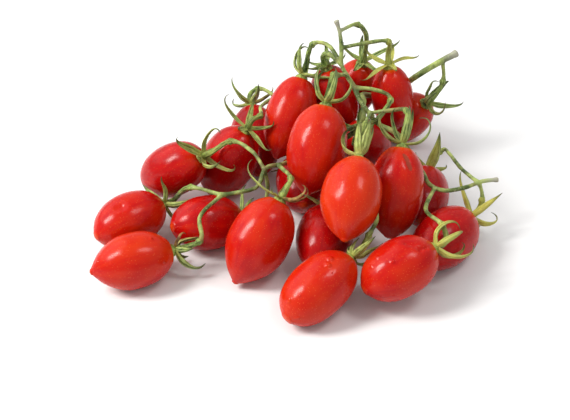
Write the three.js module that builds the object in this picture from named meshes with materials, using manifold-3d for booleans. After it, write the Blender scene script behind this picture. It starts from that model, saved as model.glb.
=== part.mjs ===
// A truss of plum tomatoes, picked and laid on a table, in millimetres, +Z up.
// Each fruit, each calyx with its stalk, and each length of the branching stem is one mesh.
// Fruits first settle against each other and the table. Stalks and sepals then bend round them.
import * as THREE from "three";
import Module from "manifold-3d";

// Driving dimensions. Every fruit's girth and length is its own share of these two.
const fruitGirth = 30;
const fruitLength = 45;
const fruitGap = 0.5; // left between two fruits
const contactDepth = 0.4; // how far a lying fruit is pressed flat by its own weight
const sepalLength = 19;
const sepalWidth = 3.4;
const sepalThickness = 0.9;
const hubRadius = 2.8; // the green disc that the five sepals grow from
const hubHeight = 1.6;
const stalkRadius = 1.35; // the stalk of one fruit, below its knuckle
const upperStalkRadius = 1.05; // and above it
const stalkFlare = 0.4; // how much a stalk widens where it grows from its stem
const knuckleRadius = 1.9; // the swollen joint on each stalk, where the fruit breaks off
const branchRadius = 1.35;
const mainStemRadius = 1.75;
const cutEndFlare = 0.5; // how much a stem widens at its cut end
const stemClearance = 0.45; // left between green parts and fruits
const jointGap = 0.35; // left where one green piece ends against the next

const fruitSides = 12;
const stemSides = 6;
const stalkStep = 3; // distance between two rings of a stalk or stem
const sepalCount = 5;

// Places were laid out for this fruit; a bigger fruit spreads the whole bunch by the same share.
const layoutGirth = 30;
const layoutLength = 45;
const spread = Math.max(fruitGirth / layoutGirth, fruitLength / layoutLength);

const { PI, cos, sin, sqrt, abs, min, max } = Math;
const UP = new THREE.Vector3(0, 0, 1);
const vec = (x, y, z) => new THREE.Vector3(x, y, z);

// Every fruit: the middle of its long axis; the way its tip points (heading from +X towards +Y, and dip
// below level, in degrees); its length and girth as shares; how pointed its tip is; whether it lies on
// the table. Its stalk runs through the points of via, with its knuckle at the first unless told, to
// point number joins of a stem. Sepals start at azimuth roll and share a lift above the shoulder, a
// curl towards the tip and a size, or have a row each in the order lift, curl, sway, size.
const fruits = [
  {
    at: [-77, -15, 15], heading: 201, dip: 2, long: 0.96, fat: 0.98, point: 0.85, lies: true,
    via: [[-42, -6, 21], [-43, 3, 28]], stem: "left_branch", joins: 8,
    roll: 45,
    sepals: [[5, 100, 0, 1.0], [10, 40, 0, 0.8], [20, 100, 0, 1.0], [30, 20, 0, 0.55], [35, 30, 0, 0.55]],
  },
  {
    at: [-81, 18, 14], heading: 219, dip: 0, long: 0.93, fat: 0.95, point: 0.62, lies: true,
    via: [[-49, 24, 31]], stem: "left_branch", joins: 8,
    roll: 54,
    sepals: [[0, 80, 0, 1.1], [0, 30, 0, 0.8], [10, 30, 0, 0.8], [15, -50, 0, 0.85], [5, 115, 0, 1.15]],
  },
  {
    at: [-59, 50, 23], heading: 162, dip: 36, long: 0.94, fat: 0.95, point: 0.6, lies: false,
    via: [[-28, 47, 44], [-17, 39, 43]], stem: "left_branch", joins: 5,
    roll: 17,
    sepals: [[10, 100, 0, 1.0], [15, 60, 0, 1.1], [10, 40, 0, 0.6], [20, 90, 0, 1.1], [0, 10, 0, 1.3]],
  },
  {
    at: [-31, 62, 21], heading: 195, dip: 62, long: 0.98, fat: 1.0, point: 0.6, lies: true,
    via: [[-13, 69, 45], [-13, 84, 41], [-3, 100, 36]], stem: "main_stem", joins: 13,
    roll: 20,
    sepals: [[-5, 10, 0, 1.1], [10, 40, 0, 0.8], [25, -10, 0, 1.1], [5, 45, 0, 1.15], [0, 20, 0, 0.5]],
  },
  {
    at: [-17, 86, 16], heading: 279, dip: 35, long: 0.93, fat: 0.93, point: 0.6, lies: true,
    via: [[-14, 111, 35]], stem: "main_stem", joins: 13, roll: 0, lift: 10, curl: 40, size: 0.9,
  },
  {
    at: [2, 77, 38], heading: 242, dip: 49, long: 1.04, fat: 0.92, point: 0.75, lies: false,
    via: [[15, 98, 72], [23, 92, 75]], stem: "top_branch", joins: 6,
    roll: 36,
    sepals: [[0, 20, 0, 1.1], [20, 40, 0, 0.9], [30, 130, 0, 1.2], [50, 30, 0, 1.0], [-5, 30, 0, 0.7]],
  },
  {
    at: [16, 39, 44], heading: 251, dip: 50, long: 1.07, fat: 1.03, point: 0.7, lies: false,
    via: [[25, 64, 74], [29, 72, 69]], stem: "top_branch", joins: 5,
    roll: 10,
    sepals: [[10, 130, 0, 1.25], [30, 90, 0, 1.1], [25, 110, 0, 1.15], [30, 95, 0, 1.2], [25, 110, 0, 1.2]],
  },
  {
    at: [33, -2, 43], heading: 258, dip: 32, long: 1.0, fat: 1.03, point: 0.8, lies: false,
    via: [[41, 34, 64], [44, 50, 60]], stem: "top_branch", joins: 2,
    roll: 20,
    sepals: [[78, 5, 0, 0.95], [80, 0, 0, 0.9], [10, 120, 0, 1.1], [76, 10, 0, 1.0], [78, 5, 0, 1.05]],
  },
  {
    at: [57, 21, 30], heading: 258, dip: 51, long: 1.07, fat: 0.97, point: 0.6, lies: false,
    via: [[63, 50, 61], [54, 56, 57]], stem: "top_branch", joins: 2,
    roll: 0,
    sepals: [[-5, 150, 0, 1.35], [60, 20, 0, 1.1], [50, 30, 0, 1.1], [0, 100, 0, 1.25], [65, 20, 0, 1.15]],
  },
  {
    at: [-14, -7, 20], heading: 228, dip: 44, long: 1.07, fat: 1.08, point: 0.85, lies: false,
    via: [[3, 15, 43]], stem: "left_branch", joins: 4,
    roll: 56,
    sepals: [[5, 90, 0, 0.9], [10, 60, 0, 0.8], [-8, 50, 0, 1.4], [-5, 20, 0, 0.6], [0, 110, 20, 1.0]],
  },
  {
    at: [16, -36, 16], heading: 223, dip: 17, long: 1.02, fat: 0.98, point: 0.5, lies: true,
    via: [[41, -12, 30], [46, 0, 31], [43, 14, 33], [39, 30, 35], [37, 46, 40]], stem: "main_stem", joins: 8,
    roll: 18,
    sepals: [[20, 60, 0, 0.9], [10, 40, 0, 0.7], [20, 60, 0, 0.5], [30, 60, 0, 0.5], [25, 20, 0, 0.9]],
  },
  {
    at: [56, -28, 20], heading: 208, dip: 15, long: 0.93, fat: 0.98, point: 0.55, lies: false,
    via: [[78, -8, 32], [71, 3, 32]], stem: "right_branch", joins: 6,
    roll: 18,
    sepals: [[10, 110, 0, 1.2], [10, 120, 0, 1.3], [20, 60, 0, 0.8], [20, 140, 0, 1.2], [40, 120, 0, 1.1]],
  },
  {
    at: [81, 3, 15], heading: 228, dip: 1, long: 0.98, fat: 0.98, point: 0.55, lies: true,
    via: [[103, 28, 21], [102, 31, 26]], stem: "right_branch", joins: 8,
    roll: 18,
    sepals: [[0, 150, 0, 1.1], [5, 40, 0, 0.8], [10, 40, 0, 0.7], [5, 20, 0, 1.2], [40, -10, 0, 1.0]],
  },
  {
    at: [74, 40, 13], heading: 260, dip: 3, long: 0.93, fat: 0.87, point: 0.6, lies: true,
    via: [[86, 70, 22], [88, 60, 27], [93, 43, 29]], stem: "right_branch", joins: 8,
    roll: 2,
    sepals: [[10, 60, 0, 0.6], [10, 40, 0, 0.7], [10, 40, 0, 0.7], [20, 40, 0, 0.6], [10, 0, -20, 1.15]],
  },
  {
    at: [59, 93, 40], heading: 300, dip: 77, long: 0.84, fat: 0.77, point: 0.6, lies: false,
    via: [[56, 97, 74], [42, 92, 76]], stem: "top_branch", joins: 7,
    roll: 46,
    sepals: [[10, 20, 0, 0.8], [15, 30, 0, 0.8], [-10, -10, 0, 1.0], [-10, 0, 0, 0.4], [30, -60, 0, 0.8]],
  },
  {
    at: [40, 119, 30], heading: 145, dip: 78, long: 0.82, fat: 0.83, point: 0.6, lies: false,
    via: [[44, 109, 72], [38, 100, 83]], knuckle: 1, stem: "top_branch", joins: 8,
    roll: 6,
    sepals: [[-5, 10, 0, 0.5], [-5, 10, 0, 0.9], [30, -10, 0, 1.2], [20, 30, 0, 0.8], [20, 30, 0, 0.8]],
  },
  {
    at: [28, 97, 37], heading: 345, dip: 74, long: 0.91, fat: 0.87, point: 0.6, lies: false,
    via: [[23, 93, 69]], stem: "top_branch", joins: 6, roll: 0, lift: 10, curl: 50, size: 0.6,
  },
  {
    at: [45, 78, 19], heading: 71, dip: 56, long: 0.93, fat: 0.93, point: 0.6, lies: true,
    via: [[49, 64, 50], [56, 72, 56], [46, 74, 59]], knuckle: 1, stem: "top_branch", joins: 4,
    roll: 0, lift: 15, curl: 50, size: 0.55,
  },
  {
    at: [68, 108, 17], heading: 141, dip: 50, long: 0.91, fat: 0.87, point: 0.6, lies: true,
    via: [[87, 99, 48]], stem: "main_stem", joins: 1,
    roll: 58,
    sepals: [[10, 120, 0, 1.1], [10, 60, 0, 1.1], [65, 10, 0, 1.0], [65, 10, 0, 1.0], [60, 20, 0, 0.9]],
  },
  {
    at: [-41, 16, 15], heading: 209, dip: -12, long: 0.89, fat: 0.97, point: 0.6, lies: true,
    via: [[-12, 31, 13], [-9, 30, 25]], stem: "left_branch", joins: 5, roll: 0, lift: 5, curl: 30, size: 0.8,
  },
  {
    at: [20, 2, 15], heading: 261, dip: -2, long: 0.98, fat: 0.98, point: 0.6, lies: true,
    via: [[28, 37, 18], [30, 45, 24], [28, 56, 30]], stem: "main_stem", joins: 9,
    roll: 0, lift: 10, curl: 30, size: 0.8,
  },
  {
    at: [9, 50, 14], heading: 272, dip: -3, long: 0.93, fat: 0.93, point: 0.6, lies: true,
    via: [[11, 82, 13]], stem: "main_stem", joins: 11, roll: 0, lift: 10, curl: 30, size: 0.8,
  },
];

const direction = (heading, dip) => {
  const h = THREE.MathUtils.degToRad(heading);
  const d = THREE.MathUtils.degToRad(dip);
  return vec(cos(h) * cos(d), sin(h) * cos(d), -sin(d));
};

// Half outline of a fruit from its stem end to its tip: [distance from the middle, radius].
const outlineSteps = 9;
function fruitOutline(length, girth, point) {
  const stations = [];
  for (let i = 0; i <= outlineSteps; i++) {
    const along = -cos((PI * i) / outlineSteps);
    const shoulder = sqrt(max(0, 1 - abs(along) ** 2.4));
    const taper = max(0, 1 - along * along) ** point;
    stations.push([(along * length) / 2, (girth / 2) * (along < 0 ? shoulder : taper)]);
  }
  return stations;
}

for (const fruit of fruits) {
  fruit.centre = vec(...fruit.at).multiplyScalar(spread);
  fruit.axis = direction(fruit.heading, fruit.dip);
  fruit.length = fruitLength * fruit.long;
  fruit.girth = fruitGirth * fruit.fat;
  fruit.outline = fruitOutline(fruit.length, fruit.girth, fruit.point);
  fruit.side = vec(0, 0, 0).crossVectors(UP, fruit.axis).normalize();
  fruit.back = vec(0, 0, 0).crossVectors(fruit.axis, fruit.side);
}

function ringOf(centre, side, back, radius, count) {
  return Array.from({ length: count }, (_, k) => {
    const turn = (2 * PI * k) / count;
    const p = centre.clone().addScaledVector(side, radius * cos(turn));
    return p.addScaledVector(back, radius * sin(turn));
  });
}

const fruitRings = (fruit) =>
  fruit.outline.map(([along, radius]) => {
    const centre = fruit.centre.clone().addScaledVector(fruit.axis, along);
    return ringOf(centre, fruit.side, fruit.back, radius, fruitSides);
  });

// Distance from a point to a fruit's skin, negative inside, with the way out.
function toSkin(fruit, point) {
  const offset = point.clone().sub(fruit.centre);
  const along = offset.dot(fruit.axis);
  const outward = offset.addScaledVector(fruit.axis, -along);
  const radius = outward.length();
  outward.multiplyScalar(1 / max(radius, 1e-6));
  let nearest = { distance: Infinity };
  for (let i = 0; i < outlineSteps; i++) {
    const [a0, r0] = fruit.outline[i];
    const [a1, r1] = fruit.outline[i + 1];
    const length = Math.hypot(a1 - a0, r1 - r0);
    const share = ((along - a0) * (a1 - a0) + (radius - r0) * (r1 - r0)) / length ** 2;
    const t = min(1, max(0, share));
    const da = along - (a0 + t * (a1 - a0));
    const dr = radius - (r0 + t * (r1 - r0));
    const distance = Math.hypot(da, dr);
    const inside = (a1 - a0) * (radius - r0) - (r1 - r0) * (along - a0) < 0;
    if (distance < nearest.distance) nearest = { distance, da, dr, inside };
  }
  const sign = nearest.inside ? -1 : 1;
  const scale = sign / max(nearest.distance, 1e-6);
  const out = fruit.axis.clone().multiplyScalar(nearest.da * scale);
  out.addScaledVector(outward, nearest.dr * scale);
  return { distance: nearest.distance * sign, out };
}

// Push the fruits apart, and onto the table where they lie on it, until nothing moves.
const settleRounds = 400;
function settle() {
  for (let round = 0; round < settleRounds; round++) {
    let moved = 0;
    for (const fruit of fruits) {
      const points = fruitRings(fruit).flat();
      const lowest = min(...points.map((p) => p.z));
      const wanted = fruit.lies ? -contactDepth : max(lowest, fruitGap);
      fruit.centre.z += wanted - lowest;
      for (const other of fruits) {
        if (other === fruit) continue;
        if (fruit.centre.distanceTo(other.centre) > (fruit.length + other.length) / 2 + fruitGap) continue;
        let worst = { distance: fruitGap };
        for (const p of points) {
          const skin = toSkin(other, p);
          if (skin.distance < worst.distance) worst = skin;
        }
        const push = (fruitGap - worst.distance) / 2;
        if (push <= 0) continue;
        moved = max(moved, push);
        fruit.centre.addScaledVector(worst.out, push);
        other.centre.addScaledVector(worst.out, -push);
      }
    }
    if (moved < 0.005) break;
  }
}
settle();
for (const fruit of fruits) {
  fruit.stemEnd = fruit.centre.clone().addScaledVector(fruit.axis, -fruit.length / 2);
}

// The green stem in four lengths. A route is a list of [x, y, z], from where the length starts. A side
// branch starts on the middle line of the main stem and is cut back clear of it.
const stems = {
  main_stem: {
    radius: mainStemRadius,
    route: [
      [94, 105, 62], [85, 101, 59], [73, 97, 53], [65, 106, 40], [52, 104, 35], [43, 97, 39], [42, 86, 43],
      [42, 72, 48], [38, 60, 45], [28, 62, 34], [22, 68, 26], [17, 82, 19], [7, 93, 24], [0, 102, 32],
    ],
  },
  top_branch: {
    radius: branchRadius,
    route: [
      [42, 72, 48], [46, 60, 51], [44, 58, 54], [39, 68, 57], [37, 73, 60], [33, 79, 64], [30, 82, 69],
      [30, 86, 76], [29, 90, 84], [27, 92, 90],
    ],
  },
  left_branch: {
    radius: branchRadius,
    route: [
      [38, 60, 45], [28, 62, 38], [16, 58, 33], [6, 46, 33], [-1, 33, 39], [-9, 29, 40], [-14, 19, 35],
      [-23, 16, 34], [-32, 15, 33],
    ],
  },
  right_branch: {
    radius: branchRadius,
    route: [
      [42, 80, 45], [49, 60, 46], [58, 50, 46], [63, 42, 40], [66, 32, 35], [69, 22, 33], [76, 18, 32],
      [88, 22, 31], [99, 31, 29], [106, 34, 28],
    ],
  },
};

const place = ([x, y, z]) => vec(x, y, z).multiplyScalar(spread);

// A chain is a row of points along a stem, stalk or sepal. Each point belongs to a node and has the
// room it needs to other nodes. shape is how far each point sits from the middle of its neighbours,
// which it tries to keep, and joints are the places where the chain may come close to other chains.
const midway = (a, b) => a.clone().add(b).multiplyScalar(0.5);

function makeChain({ points, nodes, room, held, endHeld = false, joints = [], owner = null }) {
  const inner = (i) => i > 0 && i < points.length - 1;
  const shape = points.map((p, i) => (inner(i) ? p.clone().sub(midway(points[i - 1], points[i + 1])) : null));
  const rest = points.map((p, i) => (i > 0 ? p.distanceTo(points[i - 1]) : 0));
  return { points, nodes, room, held, endHeld, joints, owner, shape, rest };
}

function sampled(route, step) {
  const curve = new THREE.CatmullRomCurve3(route, false, "centripetal");
  return curve.getSpacedPoints(max(3, Math.round(curve.getLength() / step)));
}

// Bend the moving chains clear of the fruits, the table, the fixed chains and each other.
const bendRounds = 90;
const stiffness = 0.3;
const jointReach = 6;
function bendClear(moving, fixed) {
  const all = [...moving, ...fixed];
  for (let round = 0; round < bendRounds; round++) {
    for (const chain of moving) bendChain(chain, all);
  }
}

function bendChain(chain, all) {
  const last = chain.points.length - 1;
  for (let i = chain.held; i <= last - (chain.endHeld ? 1 : 0); i++) {
    const p = chain.points[i];
    if (i < last) {
      const wanted = midway(chain.points[i - 1], chain.points[i + 1]).add(chain.shape[i]);
      p.lerp(wanted, stiffness);
    }
    for (const fruit of fruits) {
      if (p.distanceTo(fruit.centre) > fruit.length) continue;
      const skin = toSkin(fruit, p);
      const room = stemClearance + (fruit === chain.owner ? sepalThickness / 2 : chain.room[i]);
      if (skin.distance < room) p.addScaledVector(skin.out, room - skin.distance);
    }
    for (const other of all) if (other !== chain) keepApart(chain, i, other);
    p.z = max(p.z, chain.room[i] + jointGap);
    if (chain.endHeld) continue;
    const before = chain.points[i - 1];
    p.sub(before).setLength(chain.rest[i]).add(before);
  }
}

// Both a point and the middle of the stretch that leads to it are kept clear of the other chain.
function keepApart(chain, i, other) {
  const p = chain.points[i];
  const joint = chain.joints.find((place) => p.distanceTo(place) < jointReach);
  for (let j = 0; j + 1 < other.points.length; j++) {
    if (chain.nodes[i] === other.nodes[j]) continue;
    const stretch = new THREE.Line3(other.points[j], other.points[j + 1]);
    const room = chain.room[i] + max(other.room[j], other.room[j + 1]) + stemClearance;
    for (const probe of [p.clone(), midway(p, chain.points[i - 1])]) {
      const q = stretch.closestPointToPoint(probe, true, vec(0, 0, 0));
      const distance = probe.distanceTo(q);
      if (distance >= room || (joint && q.distanceTo(joint) < jointReach)) continue;
      p.add(probe.sub(q).setLength((room - distance) / 2));
    }
  }
}

for (const [name, stem] of Object.entries(stems)) {
  const places = stem.route.map(place);
  const points = sampled(places, stalkStep);
  const joints = [points[0].clone()];
  const same = (value) => points.map(() => value);
  stem.places = places;
  stem.chain = makeChain({ points, nodes: same(name), room: same(stem.radius), held: 1, joints });
}
const stemChains = Object.values(stems).map((stem) => stem.chain);
bendClear(stemChains, []);

const nearestTo = (points, target) =>
  points.reduce((best, p, i) => (p.distanceTo(target) < points[best].distanceTo(target) ? i : best), 0);

const stalkWidth = (i, knuckle) => (i < knuckle ? stalkRadius : upperStalkRadius);

// A stalk leaves the calyx straight, runs through its via points and ends inside its stem.
const stalkStart = jointGap + hubHeight;
const straightStart = 5;
fruits.forEach((fruit, n) => {
  const number = String(n + 1).padStart(2, "0");
  fruit.name = `tomato_${number}`;
  fruit.calyxName = `calyx_${number}`;
  fruit.out = fruit.axis.clone().negate();
  const stem = stems[fruit.stem];
  const end = stem.chain.points[nearestTo(stem.chain.points, stem.places[fruit.joins])].clone();
  const from = (distance) => fruit.stemEnd.clone().addScaledVector(fruit.out, distance);
  const via = fruit.via.map(place);
  const points = sampled([from(stalkStart), from(stalkStart + straightStart), ...via, end], stalkStep);
  const knuckle = nearestTo(points, via[fruit.knuckle ?? 0]);
  const nodes = points.map((_, i) => (i <= knuckle ? fruit.calyxName : fruit.stem));
  const room = points.map((_, i) => (i === knuckle ? knuckleRadius : stalkWidth(i, knuckle)));
  fruit.stalk = makeChain({ points, nodes, room, held: 2, endHeld: true, joints: [end] });
  fruit.knuckleAt = knuckle;
});
const stalkChains = fruits.map((fruit) => fruit.stalk);
bendClear(stalkChains, stemChains);

// Five sepals round each hub. Each row is lift above the shoulder, curl, sideways sway and size.
const sepalSteps = 5;
const sepalSpan = [0.42, 0.85, 1, 0.8, 0.45, 0]; // width along a sepal, as shares of sepalWidth
function sepalRows(fruit, n) {
  const { lift, curl, size } = fruit;
  const row = (k) => [
    lift + 15 * sin(2.3 * k + 1.7 * n),
    curl + 30 * sin(1.9 * k + 0.9 * n),
    25 * sin(3.1 * k + n),
    size * (1 + 0.15 * sin(2.7 * k + 1.3 * n)),
  ];
  return fruit.sepals ?? Array.from({ length: sepalCount }, (_, k) => row(k));
}

// Azimuth about the calyx, counted round the way that it faces.
const radial = (fruit, azimuth) =>
  fruit.side.clone().multiplyScalar(cos(azimuth)).addScaledVector(fruit.back, -sin(azimuth));

fruits.forEach((fruit, n) => {
  const rows = sepalRows(fruit, n);
  const centre = fruit.stemEnd.clone().addScaledVector(fruit.out, jointGap + hubHeight / 2);
  fruit.azimuths = rows.map((_, k) => THREE.MathUtils.degToRad(fruit.roll) + (2 * PI * k) / sepalCount);
  fruit.sepalChains = rows.map(([lift, curl, sway, size], k) => {
    const step = (sepalLength * size) / sepalSteps;
    const points = [centre.clone().addScaledVector(radial(fruit, fruit.azimuths[k]), hubRadius * 0.95)];
    for (let j = 1; j <= sepalSteps; j++) {
      const share = (j - 0.5) / sepalSteps;
      const climb = THREE.MathUtils.degToRad(lift + curl * share);
      const heading = fruit.azimuths[k] + THREE.MathUtils.degToRad(sway * share);
      const stride = radial(fruit, heading).multiplyScalar(step * cos(climb));
      points.push(points[j - 1].clone().add(stride).addScaledVector(fruit.out, step * sin(climb)));
    }
    const nodes = points.map(() => fruit.calyxName);
    const room = sepalSpan.map((span) => max(sepalThickness, span * sepalWidth * 1.1) / 2);
    const joints = [fruit.stemEnd];
    return makeChain({ points, nodes, room, held: 1, joints, owner: fruit });
  });
});
bendClear(fruits.flatMap((fruit) => fruit.sepalChains), [...stemChains, ...stalkChains]);

// ---------------------------------------------------------------- meshes
const wasm = await Module();
wasm.setup();

// One closed skin from a first point, rings of equal count and a last point. Rings turn
// counterclockwise about the way from first to last.
function skinOf(first, rings, last) {
  const count = rings[0].length;
  const points = [first, ...rings.flat(), last];
  const faces = [];
  const at = (ring, k) => 1 + ring * count + (k % count);
  for (let k = 0; k < count; k++) {
    faces.push([0, at(0, k + 1), at(0, k)]);
    for (let r = 0; r + 1 < rings.length; r++) {
      faces.push([at(r, k), at(r, k + 1), at(r + 1, k + 1)], [at(r, k), at(r + 1, k + 1), at(r + 1, k)]);
    }
    faces.push([points.length - 1, at(rings.length - 1, k), at(rings.length - 1, k + 1)]);
  }
  return { points, faces };
}

const solidOf = ({ points, faces }) =>
  new wasm.Manifold(
    new wasm.Mesh({
      numProp: 3,
      vertProperties: new Float32Array(points.flatMap((p) => p.toArray())),
      triVerts: new Uint32Array(faces.flat()),
    }),
  );

function geometryOf(solid) {
  const { numProp, vertProperties, triVerts } = solid.getMesh();
  const positions = [];
  for (let i = 0; i < vertProperties.length; i += numProp) {
    positions.push(...vertProperties.slice(i, i + 3));
  }
  const geometry = new THREE.BufferGeometry();
  geometry.setAttribute("position", new THREE.Float32BufferAttribute(positions, 3));
  geometry.setIndex([...triVerts]);
  return geometry;
}

const truss = new THREE.Group();
function addPiece(name, solid, colour, roughness) {
  const geometry = geometryOf(solid);
  geometry.computeVertexNormals();
  const piece = new THREE.Mesh(geometry, new THREE.MeshStandardMaterial({ color: colour, roughness }));
  piece.name = name;
  truss.add(piece);
}

const tableReach = 1000;
const belowTable = (() => {
  const low = [vec(1, 1, -1), vec(-1, 1, -1), vec(-1, -1, -1), vec(1, -1, -1)];
  const corners = low.map((p) => p.multiplyScalar(tableReach));
  const top = corners.map((p) => vec(p.x, p.y, 0));
  return solidOf(skinOf(vec(0, 0, -tableReach), [corners, top], vec(0, 0, 0)));
})();

// Tube along a chain: frames carried along without twist.
function tubeRings(points, radii, count, across) {
  return points.map((p, i) => {
    const ahead = points[min(i + 1, points.length - 1)];
    const behind = points[max(i - 1, 0)];
    const along = ahead.clone().sub(behind).normalize();
    across = across.clone().addScaledVector(along, -across.dot(along)).normalize();
    return ringOf(p, across, vec(0, 0, 0).crossVectors(along, across), radii[i], count);
  });
}

function tube(points, radii) {
  const rings = tubeRings(points, radii, stemSides, vec(0.3, 0.5, 0.8));
  return solidOf(skinOf(points[0], rings, points.at(-1)));
}

for (const fruit of fruits) {
  const rings = fruitRings(fruit);
  const round = solidOf(skinOf(rings[0][0], rings.slice(1, -1), rings.at(-1)[0]));
  addPiece(fruit.name, fruit.lies ? round.subtract(belowTable) : round, 0xc8251c, 0.25);
}

// The rings of a stalk, split in two halves that stop short of each other at the knuckle.
const knuckleEnd = knuckleRadius * 0.8;
function stalkHalves(fruit) {
  const { points } = fruit.stalk;
  const knuckle = fruit.knuckleAt;
  const radii = points.map((_, i) => (i === knuckle ? knuckleEnd : stalkWidth(i, knuckle)));
  radii[radii.length - 1] += stalkFlare;
  const rings = tubeRings(points, radii, sepalCount, radial(fruit, fruit.azimuths[0]));
  const along = points[knuckle + 1].clone().sub(points[knuckle - 1]).normalize();
  const ends = [...rings[knuckle], points[knuckle]];
  const shifted = (distance) => ends.map((p) => p.clone().addScaledVector(along, distance));
  const lowerEnd = shifted(-jointGap / 2);
  const upperEnd = shifted(jointGap / 2);
  return {
    lower: [...rings.slice(1, knuckle), lowerEnd.slice(0, -1)],
    lowerTip: lowerEnd.at(-1),
    upper: [upperEnd.slice(0, -1), ...rings.slice(knuckle + 1)],
    upperTip: upperEnd.at(-1),
  };
}

function calyxSolid(fruit) {
  const points = [];
  const faces = [];
  const add = (p) => points.push(p) - 1;
  const level = (height) => fruit.stemEnd.clone().addScaledVector(fruit.out, height);
  const half = PI / (2 * sepalCount);
  const bottom = add(level(jointGap));
  const rim = (height, radius) =>
    fruit.azimuths.flatMap((azimuth) =>
      [-half, half].map((turn) => add(level(height).addScaledVector(radial(fruit, azimuth + turn), radius))),
    );
  const low = rim(jointGap, hubRadius * 0.9);
  const high = rim(jointGap + hubHeight, hubRadius);
  const count = low.length;
  const { lower, lowerTip } = stalkHalves(fruit);
  const stalk = lower.map((ring) => ring.map(add));
  fruit.azimuths.forEach((_, k) => {
    const [left, right, next] = [2 * k, 2 * k + 1, (2 * k + 2) % count];
    const after = (k + 1) % sepalCount;
    faces.push([bottom, low[right], low[left]], [bottom, low[next], low[right]]);
    faces.push([low[right], low[next], high[next]], [low[right], high[next], high[right]]);
    faces.push([high[left], high[right], stalk[0][k]], [high[right], stalk[0][after], stalk[0][k]]);
    faces.push([high[right], high[next], stalk[0][after]]);
    let ring = [low[right], high[right], high[left], low[left]];
    const chain = fruit.sepalChains[k].points;
    for (let j = 1; j < sepalSteps; j++) {
      const along = chain[j + 1].clone().sub(chain[j - 1]).normalize();
      const across = vec(0, 0, 0).crossVectors(fruit.out, radial(fruit, fruit.azimuths[k]));
      across.addScaledVector(along, -across.dot(along)).setLength((sepalSpan[j] * sepalWidth) / 2);
      const up = vec(0, 0, 0).crossVectors(along, across).setLength((sepalThickness / 2) * (1 - 0.1 * j));
      const corner = (a, u) => add(chain[j].clone().addScaledVector(across, a).addScaledVector(up, u));
      const nextRing = [corner(1, -1), corner(1, 1), corner(-1, 1), corner(-1, -1)];
      ring.forEach((from, q) => {
        const turn = (q + 1) % 4;
        faces.push([from, ring[turn], nextRing[turn]], [from, nextRing[turn], nextRing[q]]);
      });
      ring = nextRing;
    }
    const tip = add(chain.at(-1));
    ring.forEach((from, q) => faces.push([tip, from, ring[(q + 1) % 4]]));
  });
  for (let i = 0; i + 1 < stalk.length; i++) {
    stalk[i].forEach((from, k) => {
      const turn = (k + 1) % sepalCount;
      faces.push([from, stalk[i][turn], stalk[i + 1][turn]], [from, stalk[i + 1][turn], stalk[i + 1][k]]);
    });
  }
  const end = add(lowerTip);
  stalk.at(-1).forEach((from, k) => faces.push([end, from, stalk.at(-1)[(k + 1) % sepalCount]]));
  return solidOf({ points, faces });
}

for (const fruit of fruits) addPiece(fruit.calyxName, calyxSolid(fruit), 0x6f8f3c, 0.75);

// Each stem is joined with the upper halves of the stalks that grow from it. Side branches are cut back
// from the main stem by a slightly fatter copy of it.
const taperShare = 0.75; // radius of a stem's far end as a share of its start
function stemRadii(stem, extra) {
  const last = stem.chain.points.length - 1;
  return stem.chain.points.map((_, i) => {
    const cut = i === (stem === stems.main_stem ? 0 : last);
    return stem.radius * (1 - (1 - taperShare) * (i / last)) + (cut ? cutEndFlare : 0) + extra;
  });
}

const fatMainStem = tube(stems.main_stem.chain.points, stemRadii(stems.main_stem, jointGap));
for (const [name, stem] of Object.entries(stems)) {
  let solid = tube(stem.chain.points, stemRadii(stem, 0));
  for (const fruit of fruits.filter((f) => f.stem === name)) {
    const { upper, upperTip } = stalkHalves(fruit);
    solid = solid.add(solidOf(skinOf(upperTip, upper, fruit.stalk.points.at(-1))));
  }
  if (name !== "main_stem") solid = solid.subtract(fatMainStem);
  addPiece(name, solid, 0x7d9a45, 0.7);
}

// The frame's origin is under the middle of the bunch, on the table.
truss.updateMatrixWorld(true);
const box = new THREE.Box3().setFromObject(truss);
const middle = box.getCenter(vec(0, 0, 0));
for (const piece of truss.children) piece.geometry.translate(-middle.x, -middle.y, -box.min.z);

export default truss;
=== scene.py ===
from math import cos, exp, pi, radians, sin

import bmesh
import bpy
import numpy as np
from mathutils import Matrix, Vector, noise


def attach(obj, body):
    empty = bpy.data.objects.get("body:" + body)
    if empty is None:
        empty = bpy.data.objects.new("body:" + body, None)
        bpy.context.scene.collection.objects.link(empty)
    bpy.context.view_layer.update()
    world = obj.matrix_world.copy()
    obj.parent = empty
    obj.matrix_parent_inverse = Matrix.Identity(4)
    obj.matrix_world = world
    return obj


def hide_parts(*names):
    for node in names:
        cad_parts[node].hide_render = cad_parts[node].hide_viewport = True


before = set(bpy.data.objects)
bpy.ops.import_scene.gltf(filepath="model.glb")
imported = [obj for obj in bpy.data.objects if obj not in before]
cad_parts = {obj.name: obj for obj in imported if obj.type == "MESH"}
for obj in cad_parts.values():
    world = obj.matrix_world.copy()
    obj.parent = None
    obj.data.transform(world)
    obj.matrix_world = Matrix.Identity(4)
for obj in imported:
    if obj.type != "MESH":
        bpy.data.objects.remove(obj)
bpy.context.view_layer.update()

scene = bpy.context.scene
MM = 0.001

# ---------------------------------------------------------------- camera
# The camera looks down on the bunch from the front with a long lens.
# It aims at a point in front of the middle of the bunch, a little below half its height.
aim = Vector((-6.7, -38.2, 35.0)) * MM
look_down = radians(38.0)
camera_distance = 700 * MM
camera_data = bpy.data.cameras.new("camera")
camera_data.sensor_width = 36.0
camera_data.lens = 88.4
camera_data.clip_start = 0.05
camera_data.clip_end = 30.0
camera = bpy.data.objects.new("camera", camera_data)
camera.location = aim + camera_distance * Vector((0.0, -cos(look_down), sin(look_down)))
camera.rotation_euler = (pi / 2 - look_down, 0.0, 0.0)
scene.collection.objects.link(camera)
scene.camera = camera

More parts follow.
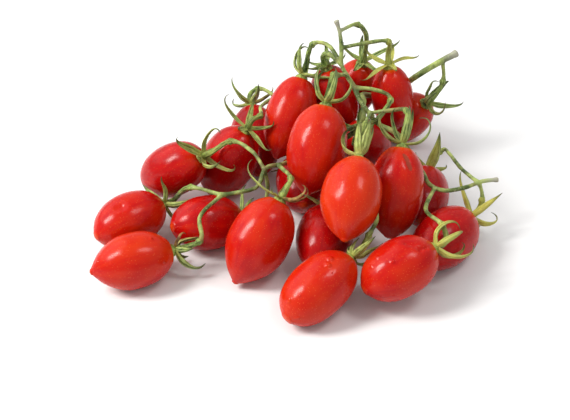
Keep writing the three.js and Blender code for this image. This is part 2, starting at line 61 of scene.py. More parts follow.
# ---------------------------------------------------------------- studio
# A white sweep lit by a big soft window-like light at the upper left, a small soft light at the
# right and a pale sky all round, so that every fruit shows one wide and one small reflection.
scene.view_settings.view_transform = "Standard"
scene.view_settings.look = "None"

floor_half = 3.0
floor_corners = [(x * floor_half, y * floor_half, 0) for x, y in ((-1, -1), (1, -1), (1, 1), (-1, 1))]
floor_mesh = bpy.data.meshes.new("floor")
floor_mesh.from_pydata(floor_corners, [], [(0, 1, 2, 3)])
floor = bpy.data.objects.new("floor", floor_mesh)
scene.collection.objects.link(floor)
floor_paint = bpy.data.materials.new("floor_white")
floor_paint.use_nodes = True
floor_shader = floor_paint.node_tree.nodes["Principled BSDF"]
floor_shader.inputs["Base Color"].default_value = (0.78, 0.78, 0.78, 1)
floor_shader.inputs["Roughness"].default_value = 0.6
floor_shader.inputs["Specular IOR Level"].default_value = 0.2
floor_mesh.materials.append(floor_paint)


lit_point = Vector((0, 0, 0.03))


def soft_light(name, place, size, power, tint=(1, 1, 1)):
    lamp = bpy.data.lights.new(name, "AREA")
    lamp.shape = "RECTANGLE"
    lamp.size, lamp.size_y = size
    lamp.energy = power
    lamp.color = tint
    holder = bpy.data.objects.new(name, lamp)
    holder.location = place
    holder.rotation_euler = (Vector(place) - lit_point).to_track_quat("Z", "Y").to_euler()
    scene.collection.objects.link(holder)


soft_light("window_light", (-0.90, -0.20, 0.95), (0.36, 0.62), 18.0, (1.0, 0.985, 0.96))
soft_light("side_light", (0.55, -0.10, 1.15), (0.26, 0.36), 3.2)

# A wide sun from the upper left gives the fruits their soft shadows.
sun_data = bpy.data.lights.new("sun_light", "SUN")
sun_data.energy = 0.9
sun_data.angle = radians(60)
sun = bpy.data.objects.new("sun_light", sun_data)
sun.rotation_euler = Vector((-0.70, 0.40, 0.75)).to_track_quat("Z", "Y").to_euler()
scene.collection.objects.link(sun)

sky = bpy.data.worlds.new("studio")
sky.use_nodes = True
sky.node_tree.nodes["Background"].inputs["Color"].default_value = (1, 1, 1, 1)
sky.node_tree.nodes["Background"].inputs["Strength"].default_value = 0.62
scene.world = sky

# ---------------------------------------------------------------- fruits
# Each fruit is a ripe plum tomato: an egg-like body with a shallow dimple round the stalk and a
# pointed tip. The skin is thin, glossy and slightly see-through, from orange to deep red. The fruit
# hangs from the green disc in its dimple.
fruit_names = sorted(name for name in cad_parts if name.startswith("tomato_"))
weld_gap = 0.02 * MM  # corners of a CAD solid closer than this are one corner


def read_solid(name):
    """The corners of a CAD solid, and for each corner the corners it shares an edge with."""
    solid = bmesh.new()
    solid.from_mesh(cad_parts[name].data)
    bmesh.ops.remove_doubles(solid, verts=solid.verts, dist=weld_gap)
    solid.verts.ensure_lookup_table()
    corners = np.array([v.co for v in solid.verts], float)
    neighbours = [[e.other_vert(v).index for e in v.link_edges] for v in solid.verts]
    solid.free()
    return corners, neighbours


def make_piece(name, points, faces, material, replaced, values):
    """A smooth mesh in place of a CAD solid, with the values its material reads at each point."""
    mesh = bpy.data.meshes.new(name)
    mesh.from_pydata([tuple(p) for p in points], [], faces)
    mesh.validate()
    mesh.polygons.foreach_set("use_smooth", [True] * len(mesh.polygons))
    for key, numbers in values.items():
        flat = np.asarray(numbers, np.float32)
        if flat.ndim == 1:
            mesh.attributes.new(key, "FLOAT", "POINT").data.foreach_set("value", flat)
        else:
            flat = flat.ravel()
            mesh.attributes.new(key, "FLOAT_VECTOR", "POINT").data.foreach_set("vector", flat)
    mesh.materials.append(material)
    piece = bpy.data.objects.new(name, mesh)
    scene.collection.objects.link(piece)
    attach(piece, "root")
    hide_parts(replaced)


class Shades:
    """Short names for the shader nodes of one material."""

    def __init__(self, name):
        self.material = bpy.data.materials.new(name)
        self.material.use_nodes = True
        self.tree = self.material.node_tree
        self.shader = self.tree.nodes["Principled BSDF"]

    def add(self, kind, links=None, **settings):
        made = self.tree.nodes.new(kind)
        for key, value in settings.items():
            setattr(made, key, value)
        for socket, source in (links or {}).items():
            self.join(source, made.inputs[socket])
        return made

    def join(self, source, socket):
        if isinstance(source, bpy.types.NodeSocket):
            self.tree.links.new(source, socket)
        else:
            socket.default_value = source

    def value(self, name):
        return self.add("ShaderNodeAttribute", attribute_name=name).outputs

    def place(self):
        return self.add("ShaderNodeTexCoord").outputs["Object"]

    def noise(self, place, scale, detail=3.0, roughness=0.5, distortion=0.0):
        links = {"Vector": place, "Scale": scale, "Detail": detail}
        links["Roughness"] = roughness
        links["Distortion"] = distortion
        return self.add("ShaderNodeTexNoise", links).outputs["Fac"]

    def span(self, value, low, high, to_low=0.0, to_high=1.0):
        links = {"Value": value, "From Min": low, "From Max": high}
        links["To Min"] = to_low
        links["To Max"] = to_high
        return self.add("ShaderNodeMapRange", links).outputs["Result"]

    def sums(self, operation, first, second=0.0):
        return self.add("ShaderNodeMath", {0: first, 1: second}, operation=operation).outputs[0]

    def blend(self, share, first, second):
        made = self.add("ShaderNodeMix", data_type="RGBA", blend_type="MIX")
        colours = [s for s in made.inputs if s.type == "RGBA"]
        self.join(share, made.inputs[0])
        self.join(first, colours[0])
        self.join(second, colours[1])
        return [s for s in made.outputs if s.type == "RGBA"][0]

    def bump(self, height, strength, distance, under=None):
        links = {"Height": height, "Strength": strength, "Distance": distance}
        if under is not None:
            links["Normal"] = under
        return self.add("ShaderNodeBump", links).outputs["Normal"]


def colour(red, green, blue):
    return (red, green, blue, 1.0)


# The skin is redder where it is riper, warmer on the shoulder, streaked along its length and finely
# specked. It carries a corky dot at the tip, and drops of water where it was wetted.
skin = Shades("tomato_skin")
skin_place = skin.place()
along = skin.value("along")["Fac"]
ripeness = skin.value("ripeness")["Fac"]
grain_place = skin.value("grain")["Vector"]
clouds = skin.noise(skin_place, 55.0, 2.0)
streaks = skin.noise(grain_place, 2.2, 4.0, 0.55, 0.6)
orange = colour(0.58, 0.038, 0.003)
red = colour(0.43, 0.003, 0.002)
deep_red = colour(0.21, 0.001, 0.003)
pale_skin = colour(0.72, 0.19, 0.006)
tip_skin = colour(0.66, 0.085, 0.006)
speck_colour = colour(0.85, 0.26, 0.08)
tip_dot = colour(0.20, 0.08, 0.03)
cork_brown = colour(0.24, 0.035, 0.014)
shoulder = skin.span(along, 0.30, 0.02)
warmth = skin.sums("ADD", skin.sums("MULTIPLY", clouds, 0.8), skin.sums("MULTIPLY", shoulder, 0.35))
warmth = skin.sums("ADD", warmth, skin.sums("MULTIPLY", skin.sums("SUBTRACT", streaks, 0.5), 0.5))
warmth = skin.sums("SUBTRACT", warmth, skin.sums("MULTIPLY", ripeness, 0.6))
body = skin.blend(skin.span(warmth, 0.05, 0.75), red, orange)
body = skin.blend(skin.span(warmth, 0.12, -0.35), body, deep_red)
specks = skin.add("ShaderNodeTexVoronoi", {"Vector": skin_place, "Scale": 900.0}).outputs["Distance"]
body = skin.blend(skin.span(specks, 0.20, 0.08, 0.0, 0.35), body, speck_colour)
paleness = skin.value("pale")["Fac"]
pale_edge = skin.sums("ADD", along, skin.sums("MULTIPLY", streaks, 0.06))
pale_share = skin.sums("MULTIPLY", skin.span(pale_edge, 0.19, 0.05), paleness)
body = skin.blend(pale_share, body, pale_skin)
body = skin.blend(skin.span(along, 0.90, 1.0, 0.0, 0.6), body, tip_skin)
body = skin.blend(skin.span(along, 0.990, 0.996), body, tip_dot)
wetness = skin.value("wet")["Fac"]
cells = skin.add("ShaderNodeTexVoronoi", {"Vector": skin_place, "Scale": 150.0})
cell_chance = skin.add("ShaderNodeSeparateColor", {"Color": cells.outputs["Color"]}).outputs["Red"]
drop_here = skin.sums("LESS_THAN", cell_chance, wetness)
drop_reach = skin.span(cells.outputs["Distance"], 0.0, 0.14)
drop_dome = skin.sums("SUBTRACT", 1.0, skin.sums("MULTIPLY", drop_reach, drop_reach))
drop_dome = skin.sums("MULTIPLY", skin.sums("POWER", drop_dome, 0.5), drop_here)
dull = skin.span(skin.noise(skin_place, 160.0, 3.0), 0.3, 0.75, 0.15, 0.32)
water = skin.sums("MAXIMUM", drop_dome, skin.value("bead")["Fac"])
dull = skin.sums("MULTIPLY", dull, skin.span(water, 0.0, 0.15, 1.0, 0.15))
scar = skin.value("scar")["Fac"]
cork = skin.noise(skin_place, 900.0, 3.0, 0.7)
corky = skin.span(skin.sums("ADD", scar, cork), 1.0, 1.15)
body = skin.blend(skin.sums("MULTIPLY", corky, 0.85), body, cork_brown)
skin.join(body, skin.shader.inputs["Base Color"])
skin.join(skin.sums("ADD", dull, skin.sums("MULTIPLY", corky, 0.25)), skin.shader.inputs["Roughness"])
skin.shader.inputs["IOR"].default_value = 1.38
skin.shader.inputs["Specular IOR Level"].default_value = 0.27
skin.shader.inputs["Subsurface Weight"].default_value = 0.05
skin.shader.inputs["Subsurface Radius"].default_value = (1.0, 0.18, 0.08)
skin.shader.inputs["Subsurface Scale"].default_value = 0.002
skin.shader.inputs["Coat Weight"].default_value = 0.05
skin.shader.inputs["Coat Roughness"].default_value = 0.10
skin_waves = skin.bump(skin.noise(skin_place, 90.0, 3.0), 0.38, 0.0006)
skin_pores = skin.bump(specks, 0.06, 0.0003, skin_waves)
skin_marks = skin.bump(corky, 0.5, 0.0003, skin_pores)
skin.join(skin.bump(drop_dome, 1.0, 0.0005, skin_marks), skin.shader.inputs["Normal"])

coarse_mesh = (84, 72)  # rings along a fruit, and points round it
fine_mesh = (190, 150)  # the same, where drops stand on it
cad_around = 12  # corners round the CAD fruit
cad_rings = 9  # steps between its rings, even by angle, from its stem end to its tip
girth_ring = 4  # the ring that gives the girth, and the one that gives the taper to the tip
taper_ring = 7
stem_end_power = 2.4  # how full the stem end is: 2 would be round
dimple_depth = 1.0 * MM
dimple_width = 3.4 * MM
rim_height = 0.35 * MM  # the raised rim round the dimple: height, place and width
rim_place = 5.2 * MM
rim_width = 2.0 * MM
tip_draw = 0.22  # how far the flanks draw in just before the tip
tip_start = 0.72  # where that starts, from 0 at the middle to 1 at the tip
tip_button = 0.035  # the small blunt end of the tip: width and length
tip_button_length = 0.05

# How ripe each fruit is, from orange (0) to deep red (1).
ripeness_of = {
    "tomato_01": 0.25, "tomato_02": 0.35, "tomato_03": 0.60, "tomato_04": 0.75, "tomato_05": 0.85,
    "tomato_06": 0.45, "tomato_07": 0.35, "tomato_08": 0.00, "tomato_09": 0.35, "tomato_10": 0.30,
    "tomato_11": 0.15, "tomato_12": 0.35, "tomato_13": 0.70, "tomato_14": 0.80, "tomato_15": 0.60,
    "tomato_16": 0.55, "tomato_17": 0.60, "tomato_18": 0.80, "tomato_19": 0.65, "tomato_20": 0.55,
    "tomato_21": 0.90, "tomato_22": 0.80,
}

# How yellow the shoulder still is, and what it is on the fruits that aren't listed.
pale_of = {
    "tomato_07": 0.25, "tomato_08": 0.30, "tomato_09": 0.35, "tomato_13": 0.3, "tomato_15": 1.0,
    "tomato_18": 0.5,
}
least_pale = 0.08

# How much of the skin carries fine drops of water, where it was wetted.
wet_of = {
    "tomato_01": 0.18, "tomato_07": 0.12, "tomato_08": 0.08, "tomato_10": 0.10, "tomato_11": 0.42,
    "tomato_12": 0.25,
}

# The larger drops, which stand up from the skin: place (mm) and radius (mm).
drops_of = {
    "tomato_01": [((-73, -51, 27), 1.0), ((-100, -60, 19), 0.9)],
    "tomato_11": [
        ((15, -71, 31), 1.8), ((14, -75, 30), 1.6), ((-5, -88, 19), 1.3), ((-1, -93, 12), 1.0),
    ],
    "tomato_12": [((38, -70, 30), 1.1), ((35, -73, 27), 0.9), ((45, -74, 31), 1.2)],
}
drop_height = 0.42  # share of a drop's radius

# Marks the fruits grew with: from and to (mm), half width (mm), depth (mm), share of cork.
marks_of = {
    "tomato_02": [((-92, -25, 26), (-90, -25, 27), 2.1, 1.5, 0.2)],
    "tomato_09": [((54, -13, 50), (57, -19, 47), 1.9, 0.6, 0.95)],
    "tomato_12": [
        ((52, -65, 35), (59, -68, 34), 1.2, 0.8, 0.0),
        ((59, -68, 34), (62, -66, 33), 1.2, 0.7, 0.0),
    ],
}


def line_distance(p, a, b):
    """How far a point is from the straight line between two others."""
    share = min(1.0, max(0.0, (p - a) @ (b - a) / ((b - a) @ (b - a))))
    return np.linalg.norm(p - a - share * (b - a))


fruit_shapes = {}
for number, name in enumerate(fruit_names):
    corners, neighbours = read_solid(name)
    calyx_corners, _ = read_solid(name.replace("tomato", "calyx"))
    ends = [i for i, near in enumerate(neighbours) if len(near) == cad_around]
    reach = [np.linalg.norm(calyx_corners - corners[i], axis=1).min() for i in ends]
    stem_end = ends[int(np.argmin(reach))]
    top = corners[stem_end]
    axis = corners[neighbours[stem_end]].mean(0) - top
    first_ring = np.linalg.norm(axis)
    axis /= first_ring
    length = 2 * first_ring / (1 - cos(pi / cad_rings))
    middle = top + axis * length / 2
    offsets = corners - middle
    reached = offsets @ axis
    widths = np.linalg.norm(offsets - np.outer(reached, axis), axis=1)

    def ring_width(step):
        station = -cos(pi * step / cad_rings) * length / 2
        return widths[np.abs(reached - station) < 0.05 * MM].max()

    girth_share = (1 - abs(cos(girth_ring * pi / cad_rings)) ** stem_end_power) ** 0.5
    half_girth = ring_width(girth_ring) / girth_share
    taper_share = 1 - cos(taper_ring * pi / cad_rings) ** 2
    taper = np.log(ring_width(taper_ring) / half_girth) / np.log(taper_share)
    side = np.cross((0, 0, 1), axis)
    side /= np.linalg.norm(side)
    back = np.cross(axis, side)
    fruit_shapes[name] = (top, middle, axis, side, back, length, half_girth)

    chance = np.random.default_rng(100 + number)
    lobe_turn, bulge_turn = chance.uniform(0, 2 * pi, 2)
    bulge = chance.uniform(0.2, 0.6) * MM
    drops = [(np.array(spot) * MM, size * MM) for spot, size in drops_of.get(name, [])]
    marks = marks_of.get(name, [])
    ring_count, around_count = fine_mesh if drops else coarse_mesh

    def skin_point(share, angle):
        """A point of the skin, with its share of cork and of water."""
        place = -cos(pi * share)
        if place < 0:
            width = max(0.0, 1 - abs(place) ** stem_end_power) ** 0.5
        else:
            width = max(0.0, 1 - place * place) ** taper
            width *= 1 - tip_draw * max(0.0, (place - tip_start) / (1 - tip_start)) ** 2
            width += tip_button * sin(pi * min(1.0, (1 - place) / tip_button_length))
        radius = half_girth * width
        # Shallow lobes: two wide ones and three narrower ones.
        radius *= 0.985 + 0.012 * cos(2 * angle + lobe_turn) + 0.008 * cos(3 * angle - bulge_turn)
        outward = cos(angle) * side + sin(angle) * back
        depth = place * length / 2
        if place < 0:
            depth += dimple_depth * exp(-((radius / dimple_width) ** 2))
            depth -= rim_height * exp(-(((radius - rim_place) / rim_width) ** 2))
        # One side of the fruit is a little fuller than the other.
        bulge_way = cos(bulge_turn) * side + sin(bulge_turn) * back
        p = middle + depth * axis + radius * outward + bulge * (1 - place * place) * bulge_way
        # The skin is a little uneven, in wide soft swells and in small ones.
        rough = noise.noise(Vector(p) * 95.0) * 0.22 * MM + noise.noise(Vector(p) * 240.0) * 0.05 * MM
        p = p + outward * rough * min(1.0, 3 * width)
        scar = 0.0
        for mark_from, mark_to, mark_width, mark_depth, cork_share in marks:
            away = line_distance(p, np.array(mark_from) * MM, np.array(mark_to) * MM)
            near = exp(-((away / (mark_width * MM)) ** 2))
            p = p - outward * (mark_depth * MM) * near
            scar = max(scar, cork_share * near)
        bead = 0.0
        for drop_place, drop_radius in drops:
            offset = p - drop_place
            if np.linalg.norm(offset) > 3 * drop_radius:
                continue
            reach = np.linalg.norm(offset - outward * (offset @ outward)) / drop_radius
            dome = max(0.0, 1 - reach * reach) ** 0.5
            p = p + outward * drop_height * drop_radius * dome
            bead = max(bead, dome)
        # Where the fruit lies on the ground it is flat.
        p[2] = max(p[2], 0.0)
        return p, scar, bead

    # Rings of points from the stem end to the tip, then the one point at each end.
    spots = []
    for ring in range(1, ring_count):
        spots += [(ring / ring_count, 2 * pi * turn / around_count) for turn in range(around_count)]
    spots += [(0.0, 0.0), (1.0, 0.0)]
    points = []
    values = {"along": [], "grain": [], "ripeness": [], "pale": [], "wet": [], "scar": [], "bead": []}
    for share, angle in spots:
        p, scar_share, bead_share = skin_point(share, angle)
        points.append(p)
        values["along"].append(share)
        # Places for the streaks: drawn out along the fruit, and others on every fruit.
        lengthwise = number * 3.1 - 0.55 * cos(pi * share)
        values["grain"].append((cos(angle) * 1.6, sin(angle) * 1.6, lengthwise))
        values["ripeness"].append(ripeness_of[name])
        values["pale"].append(pale_of.get(name, least_pale))
        values["wet"].append(wet_of.get(name, 0.0))
        values["scar"].append(scar_share)
        values["bead"].append(bead_share)
    faces = []
    tip_ring = (ring_count - 2) * around_count
    stem_point, tip_point = len(points) - 2, len(points) - 1
    for start in range(0, tip_ring, around_count):
        for turn in range(around_count):
            a, b = start + turn, start + (turn + 1) % around_count
            faces.append((a, a + around_count, b + around_count, b))
    for turn in range(around_count):
        after = (turn + 1) % around_count
        faces.append((stem_point, turn, after))
        faces.append((tip_point, tip_ring + after, tip_ring + turn))
    make_piece(name + "_skin", points, faces, skin.material, name, values)

# ---------------------------------------------------------------- calyxes and stalks
# Each fruit has five narrow, channelled sepals that curl at their tips, round a green disc in the
# dimple, and a ribbed stalk that runs to its swollen knuckle. They grow as one and are one mesh.

# The green is patchy, pale along the ribs and edges, yellow at the root of a sepal and dark at its
# tip. Dry sepals are brown.
green = Shades("calyx")
green_place = green.place()
length_share = green.value("tone")["Fac"]
across_share = green.value("across")["Fac"]
dryness = green.value("dry")["Fac"]
yellowness = green.value("yellow")["Fac"]
patches = green.noise(green_place, 260.0, 4.0, 0.6)
fine = green.noise(green_place, 1400.0, 3.0)
rib_lines = green.noise(green.value("ribs")["Vector"], 3.0, 3.0, 0.6)
dark_leaf = colour(0.034, 0.072, 0.010)
light_leaf = colour(0.27, 0.37, 0.072)
pale_rib = colour(0.46, 0.55, 0.19)
dark_groove = colour(0.035, 0.065, 0.012)
yellow_root = colour(0.50, 0.50, 0.11)
yellow_leaf = colour(0.66, 0.56, 0.10)
pale_edge_green = colour(0.50, 0.53, 0.17)
dark_tip = colour(0.045, 0.065, 0.022)
dark_fleck = colour(0.07, 0.08, 0.02)
dark_straw = colour(0.10, 0.045, 0.012)
light_straw = colour(0.42, 0.23, 0.07)
leaf = green.blend(green.span(patches, 0.38, 0.62), dark_leaf, light_leaf)
rib_wave = green.sums("SINE", green.sums("MULTIPLY", across_share, 11.0))
rib_share = green.sums("ADD", green.sums("MULTIPLY", rib_wave, 0.12), rib_lines)
leaf = green.blend(green.span(rib_share, 0.48, 0.60, 0.0, 0.65), leaf, pale_rib)
leaf = green.blend(green.span(rib_share, 0.44, 0.34, 0.0, 0.75), leaf, dark_groove)
leaf = green.blend(green.span(length_share, 0.24, 0.02, 0.0, 0.70), leaf, yellow_root)
leaf = green.blend(yellowness, leaf, yellow_leaf)
leaf = green.blend(green.span(across_share, 0.70, 1.0, 0.0, 0.65), leaf, pale_edge_green)
leaf = green.blend(green.span(length_share, 0.66, 0.95, 0.0, 0.9), leaf, dark_tip)
leaf = green.blend(green.span(fine, 0.62, 0.72, 0.0, 0.6), leaf, dark_fleck)
straw = green.blend(green.span(patches, 0.35, 0.65), dark_straw, light_straw)
leaf = green.blend(dryness, leaf, straw)
green.join(leaf, green.shader.inputs["Base Color"])
green.join(green.span(patches, 0.3, 0.7, 0.42, 0.62), green.shader.inputs["Roughness"])
green.shader.inputs["Specular IOR Level"].default_value = 0.3
green.shader.inputs["Subsurface Weight"].default_value = 0.12
green.shader.inputs["Subsurface Radius"].default_value = (0.5, 0.8, 0.15)
green.shader.inputs["Subsurface Scale"].default_value = 0.0012
green_ribs = green.bump(rib_share, 0.9, 0.0007)
green.join(green.bump(fine, 0.35, 0.0002, green_ribs), green.shader.inputs["Normal"])

# How yellow each calyx is, by its number.
yellow_of = {3: 0.18, 4: 0.10, 8: 0.15, 10: 0.12, 11: 0.15, 12: 0.42, 13: 0.60, 14: 0.30, 15: 0.45}

# The dry sepals of each calyx, counted round it, and how dry they are.
dry_of = {
    1: {3: 0.5, 4: 1.0}, 3: {1: 0.35}, 5: {2: 0.6}, 8: {0: 0.25}, 9: {4: 0.2}, 10: {1: 1.0, 2: 0.85},
    12: {2: 0.3}, 13: {0: 1.0}, 14: {1: 0.7, 4: 0.4}, 19: {1: 0.3}, 21: {1: 0.6, 4: 0.4},
}

# The sepals that grew wider than the rest, and how many times as wide.
wide_of = {
    1: {0: 1.3, 1: 1.9}, 3: {1: 1.2, 3: 1.2}, 8: {0: 1.2, 1: 1.5, 2: 1.4, 3: 1.3, 4: 1.5},
    11: {1: 1.2, 2: 1.2}, 14: {3: 1.6},
}

cad_sepal_sides = 4  # corners round a sepal and round a stalk of the CAD calyx
cad_stalk_sides = 5
cad_sepal_rings = 4  # rings of corners between a sepal's tip and the disc
curve_steps = 12  # points on a smooth curve between two stops
sepal_steps = 30
hook_start = 0.62  # where a sepal starts to hook over, as a share of its length
blade_points = 9  # points across one face of a sepal
blade_width = 4.3 * MM
blade_at = [0.0, 0.12, 0.3, 0.5, 0.7, 0.88, 1.0]  # places along a sepal, and its width there
blade_shares = [0.80, 0.92, 1.0, 0.84, 0.56, 0.27, 0.03]
rib_thickness = 0.75 * MM
edge_thickness = 0.22 * MM
upper_groove = 0.16 * MM  # the channel down the middle of a sepal, and the rib under it
under_rib = 0.12 * MM
rib_reach = 0.22  # how wide both are, as a share of half the sepal
disc_height = 0.9 * MM  # where sepals leave the green disc: above the dimple and out from the middle
disc_reach = 0.6 * MM
stalk_root = 1.1 * MM  # how far the stalk goes down into the dimple, and where it comes out
stalk_foot = 0.6 * MM
past_knuckle = 0.9 * MM  # how far it goes on past the end of its CAD solid, into the branch
stalk_step = 0.7 * MM  # from ring to ring of the stalk, and the points round it
stalk_around = 20


def smooth_path(stops, count):
    """Evenly spaced points on a smooth curve through the stops."""
    stops = np.asarray(stops, float)
    padded = np.vstack([2 * stops[0] - stops[1], stops, 2 * stops[-1] - stops[-2]])
    fine_points = []
    for i in range(len(stops) - 1):
        p0, p1, p2, p3 = padded[i : i + 4]
        slope = p2 - p0
        bend = 2 * p0 - 5 * p1 + 4 * p2 - p3
        sway = 3 * p1 - p0 - 3 * p2 + p3
        for t in np.linspace(0, 1, curve_steps, endpoint=False):
            fine_points.append(0.5 * (2 * p1 + slope * t + bend * t * t + sway * t**3))
    fine_points.append(stops[-1])
    fine_points = np.array(fine_points)
    reach = np.concatenate([[0], np.cumsum(np.linalg.norm(np.diff(fine_points, axis=0), axis=1))])
    wanted = np.linspace(0, reach[-1], count)
    return np.stack([np.interp(wanted, reach, fine_points[:, k]) for k in range(3)], 1)


def unit(v):
    return v / max(np.linalg.norm(v), 1e-12)


fruit_room = 1.06  # the room kept for a fruit against its own size, squared


def in_a_fruit(p):
    """Whether a point is in or close to a fruit, each taken as an egg of its length and girth."""
    for _, middle, axis, _, _, length, half_girth in fruit_shapes.values():
        offset = p - middle
        depth = offset @ axis
        width = np.linalg.norm(offset - depth * axis)
        if (2 * depth / length) ** 2 + (width / half_girth) ** 2 < fruit_room:
            return True
    return False


def rings_from(start, neighbours, sides):
    """Rings of corners met one after another on the way from an end point of a solid."""
    seen, rings, ring = {start}, [], [start]
    while True:
        ring = sorted({near for i in ring for near in neighbours[i]} - seen)
        seen.update(ring)
        if len(ring) != sides:
            return rings
        rings.append(ring)


def tube_points(path, radii, across, around, shape):
    """Rings of a tube along a path; shape gives the share of the radius at a turn and a distance."""
    rings = []
    for i, p in enumerate(path):
        forward = unit(path[min(i + 1, len(path) - 1)] - path[max(i - 1, 0)])
        across = unit(across - forward * (across @ forward))
        other = np.cross(forward, across)
        for k in range(around):
            turn = 2 * pi * k / around
            rings.append(p + radii[i] * shape(turn, i) * (cos(turn) * across + sin(turn) * other))
    return rings


def loft_faces(start, rings, around, flip=False):
    """The faces between rings of points, and one over each end."""
    faces = []
    for i in range(rings - 1):
        for k in range(around):
            a = start + i * around + k
            b = start + i * around + (k + 1) % around
            faces.append((a, b, b + around, a + around))
    faces.append(tuple(start + k for k in reversed(range(around))))
    faces.append(tuple(start + (rings - 1) * around + k for k in range(around)))
    return [tuple(reversed(f)) for f in faces] if flip else faces


for number, name in enumerate(fruit_names, 1):
    top, _, axis, side, back, _, _ = fruit_shapes[name]
    out = -axis
    calyx_name = name.replace("tomato", "calyx")
    corners, neighbours = read_solid(calyx_name)
    chance = np.random.default_rng(500 + number)
    yellow = yellow_of.get(number, 0.0)
    points, faces = [], []
    values = {"tone": [], "across": [], "dry": [], "yellow": [], "ribs": []}

    tips = [i for i, near in enumerate(neighbours) if len(near) == cad_sepal_sides]

    def turn_of(i):
        offset = corners[i] - top
        return np.arctan2(offset @ back, offset @ side)

    for sepal, tip in enumerate(sorted(tips, key=turn_of)):
        rings = rings_from(tip, neighbours, cad_sepal_sides)[:cad_sepal_rings]
        stops = [corners[tip]] + [corners[ring].mean(0) for ring in rings]
        inner = stops[-1] - top
        root = top + out * disc_height + unit(inner - out * (inner @ out)) * disc_reach
        stops = np.array([root] + stops[::-1])
        path = smooth_path(stops, sepal_steps + 1)
        dry = dry_of.get(number, {}).get(sepal, 0.0)
        # A dry sepal is narrower, folds up, twists and hooks more.
        shrivel = 1 - 0.45 * dry
        size = shrivel * chance.uniform(0.88, 1.08) * wide_of.get(number, {}).get(sepal, 1.0)
        fold = chance.uniform(0.25, 0.6) + 0.5 * dry
        twist = radians(chance.uniform(-35, 35)) * (1 + dry)
        hook = radians(chance.uniform(20, 95)) * (1 + 0.6 * dry)
        wave_turn = chance.uniform(0, 2 * pi)
        # The last stretch hooks over a little more than in the solid, but never into a fruit.
        for hook_share in (1.0, 0.7, 0.4, 0.2, 0.0):
            bent = [path[0]]
            up = out.copy()
            normals = []
            for i in range(sepal_steps):
                forward = unit(path[i + 1] - path[i])
                up = unit(up - forward * (up @ forward))
                normals.append(up)
                stride = np.linalg.norm(path[i + 1] - path[i])
                share = (i + 1) / sepal_steps
                angle = hook_share * hook * max(0.0, (share - hook_start) / (1 - hook_start)) ** 2
                bent.append(bent[-1] + stride * (cos(angle) * forward + sin(angle) * up))
            normals.append(up)
            if not any(in_a_fruit(p) for p in bent[sepal_steps // 2 :]):
                break
        path = np.array(bent)
        start = len(points)
        for i in range(sepal_steps + 1):
            share = i / sepal_steps
            forward = unit(path[min(i + 1, sepal_steps)] - path[max(i - 1, 0)])
            up = unit(normals[i] - forward * (normals[i] @ forward))
            across = np.cross(forward, up)
            angle = twist * share * share
            across, up = cos(angle) * across + sin(angle) * up, cos(angle) * up - sin(angle) * across
            half = 0.5 * blade_width * size * np.interp(share, blade_at, blade_shares)
            for face_side in (1, -1):
                shares = np.linspace(-1, 1, blade_points)
                if face_side < 0:
                    shares = shares[::-1][1:-1]
                for u in shares:
                    rib = exp(-((u / rib_reach) ** 2))
                    thick = edge_thickness + (rib_thickness - edge_thickness) * (1 - abs(u)) ** 0.8
                    thick *= 1 - 0.55 * share
                    lift = fold * half * abs(u) ** 1.5
                    lift += 0.10 * half * sin(9 * share + wave_turn) * u * abs(u)
                    if face_side > 0:
                        height = lift + thick / 2 - upper_groove * rib * (1 - share)
                    else:
                        height = lift - thick / 2 - under_rib * rib * (1 - share)
                    spread = half * u * (1 - 0.18 * fold * abs(u))
                    points.append(path[i] + across * spread + up * height)
                    values["across"].append(abs(u))
                    values["ribs"].append((u * 2.2 + sepal * 7, share * 1.4, number * 5.0))
        blade_ring = 2 * blade_points - 2
        count = len(points) - start
        values["tone"] += [i // blade_ring / sepal_steps for i in range(count)]
        values["dry"] += [dry] * count
        values["yellow"] += [yellow] * count
        faces += loft_faces(start, sepal_steps + 1, blade_ring, flip=True)

    # The stalk: from the dimple, through the green disc, to a little past the knuckle.
    ends = [i for i, near in enumerate(neighbours) if len(near) == cad_stalk_sides]
    longest = max((rings_from(end, neighbours, cad_stalk_sides) for end in ends), key=len)
    centres = [corners[ring].mean(0) for ring in longest]
    stops = [top - out * stalk_root, top + out * stalk_foot] + centres[::-1]
    forward = unit(stops[-1] - stops[-2])
    stops.append(stops[-1] + forward * past_knuckle)
    reach = np.linalg.norm(np.diff(np.array(stops), axis=0), axis=1).sum()
    steps = max(12, int(reach / stalk_step))
    path = smooth_path(stops, steps)
    radii = []
    for i in range(steps):
        # In mm: a thicker foot, the disc in the dimple, then near the far end the swollen knuckle,
        # the fine groove round it where a ripe fruit parts, and a slimmer neck before it.
        at = reach * i / (steps - 1) / MM
        to_end = reach / MM - at
        radius = 1.30 + 0.48 * exp(-(((at - 2.6) / 4.2) ** 2))
        radius += 1.70 * exp(-((max(0.0, at - 0.9) / 1.0) ** 2))
        radius += 0.62 * exp(-(((to_end - 1.7) / 0.95) ** 2))
        radius -= 0.38 * exp(-(((to_end - 1.15) / 0.28) ** 2))
        radius -= 0.12 * exp(-(((to_end - 4.2) / 1.2) ** 2))
        radii.append(radius * MM)
    rib_turn = chance.uniform(0, 2 * pi)
    start = len(points)

    def stalk_shape(turn, i):
        ribs = 1 + 0.08 * cos(5 * turn + rib_turn + 0.05 * i)
        spot = Vector((cos(turn) * 1.5, sin(turn) * 1.5, i * 0.35 + number * 9))
        return ribs + 0.07 * noise.noise(spot)

    points += tube_points(path, radii, side, stalk_around, stalk_shape)
    faces += loft_faces(start, steps, stalk_around)
    for k in range(len(points) - start):
        ring, turn = k // stalk_around, 2 * pi * (k % stalk_around) / stalk_around
        values["tone"].append(0.12 + 0.35 * min(1.0, ring / 8))
        values["across"].append(0.3)
        values["dry"].append(0.0)
        values["yellow"].append(yellow * 0.6)
        values["ribs"].append((cos(turn) * 1.5, sin(turn) * 1.5, ring * 0.06))
    make_piece(calyx_name + "_green", points, faces, green.material, calyx_name, values)

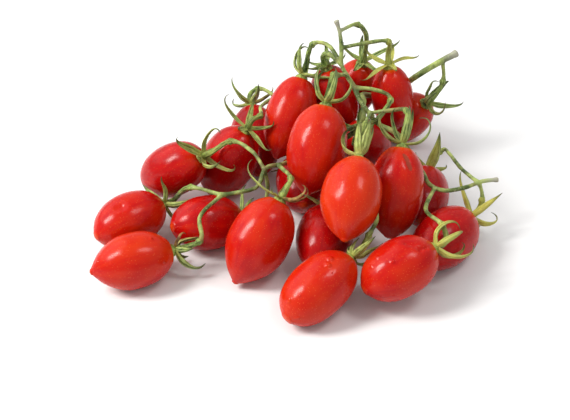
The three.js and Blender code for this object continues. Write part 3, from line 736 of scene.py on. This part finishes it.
# ---------------------------------------------------------------- stems
# The branching stem is soft and finely hairy, thicker and a little ribbed where it forks, and
# grey and dry where it was cut off. Each length starts from its CAD solid and is smoothed.

# The bark is green in patches, with a bloom of fine pale hairs and a few brown spots.
bark = Shades("stem")
bark_place = bark.place()
cut_share = bark.value("cut")["Fac"]
bark_patches = bark.noise(bark_place, 120.0, 4.0, 0.6)
bark_fine = bark.noise(bark_place, 900.0, 3.0)
dark_stem = colour(0.055, 0.088, 0.016)
light_stem = colour(0.37, 0.44, 0.125)
hair_light = colour(0.52, 0.56, 0.28)
bark_brown = colour(0.20, 0.12, 0.04)
dry_grey = colour(0.34, 0.33, 0.26)
brown_patches = bark.noise(bark_place, 70.0, 2.0)
stem_colour = bark.blend(bark.span(bark_patches, 0.38, 0.62), dark_stem, light_stem)
stem_colour = bark.blend(bark.span(bark_fine, 0.58, 0.72, 0.0, 0.55), stem_colour, hair_light)
stem_colour = bark.blend(bark.span(brown_patches, 0.58, 0.72, 0.0, 0.7), stem_colour, bark_brown)
stem_colour = bark.blend(cut_share, stem_colour, dry_grey)
bark.join(stem_colour, bark.shader.inputs["Base Color"])
bark.join(bark.span(bark_patches, 0.3, 0.7, 0.45, 0.65), bark.shader.inputs["Roughness"])
bark.shader.inputs["Specular IOR Level"].default_value = 0.3
bark.shader.inputs["Subsurface Weight"].default_value = 0.1
bark.shader.inputs["Subsurface Radius"].default_value = (0.5, 0.8, 0.2)
bark.shader.inputs["Subsurface Scale"].default_value = 0.001
bark.shader.inputs["Sheen Weight"].default_value = 0.04
bark.shader.inputs["Sheen Roughness"].default_value = 0.5
bark.shader.inputs["Sheen Tint"].default_value = (0.9, 1.0, 0.75, 1)
bark_bump = bark.bump(bark_patches, 0.4, 0.0004)
bark.join(bark.bump(bark_fine, 0.4, 0.0002, bark_bump), bark.shader.inputs["Normal"])

# The cut end of each length is its corner furthest this way. The left one has none.
cut_way = {"main_stem": (0.8, 0.1, 0.6), "top_branch": (0, 0, 1), "right_branch": (1, 0, 0)}
dry_length = 9 * MM  # how far the grey reaches from a cut
stem_proud = 0.16  # mm by which the smoothed skin is let out, since smoothing thins it
for name in ("main_stem", "top_branch", "left_branch", "right_branch"):
    corners, _ = read_solid(name)
    stem = bpy.data.objects.new(name + "_green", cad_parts[name].data.copy())
    scene.collection.objects.link(stem)
    solid = bmesh.new()
    solid.from_mesh(stem.data)
    bmesh.ops.remove_doubles(solid, verts=solid.verts, dist=weld_gap)
    solid.to_mesh(stem.data)
    solid.free()
    remesh = stem.modifiers.new("remesh", "REMESH")
    remesh.mode = "VOXEL"
    remesh.voxel_size = 0.3 * MM
    smooth = stem.modifiers.new("smooth", "SMOOTH")
    smooth.factor = 0.5
    smooth.iterations = 14
    shown = stem.evaluated_get(bpy.context.evaluated_depsgraph_get())
    mesh = bpy.data.meshes.new_from_object(shown)
    stem.modifiers.clear()
    stem.data = mesh
    points = np.array([v.co for v in mesh.vertices])
    normals = np.array([v.normal for v in mesh.vertices])
    small = np.array([0.12 * noise.noise(Vector(p) * 260.0) for p in points])
    large = np.array([0.22 * noise.noise(Vector(p) * 90.0) for p in points])
    points = points + normals * (stem_proud + (small + large))[:, None] * MM
    mesh.vertices.foreach_set("co", points.ravel())
    mesh.polygons.foreach_set("use_smooth", [True] * len(mesh.polygons))
    cut = np.zeros(len(points))
    if name in cut_way:
        end = corners[np.argmax(corners @ np.array(cut_way[name]))]
        cut = np.clip(1.15 - np.linalg.norm(points - end, axis=1) / dry_length, 0, 0.9)
    mesh.attributes.new("cut", "FLOAT", "POINT").data.foreach_set("value", cut.astype(np.float32))
    mesh.materials.clear()
    mesh.materials.append(bark.material)
    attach(stem, "root")
    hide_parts(name)
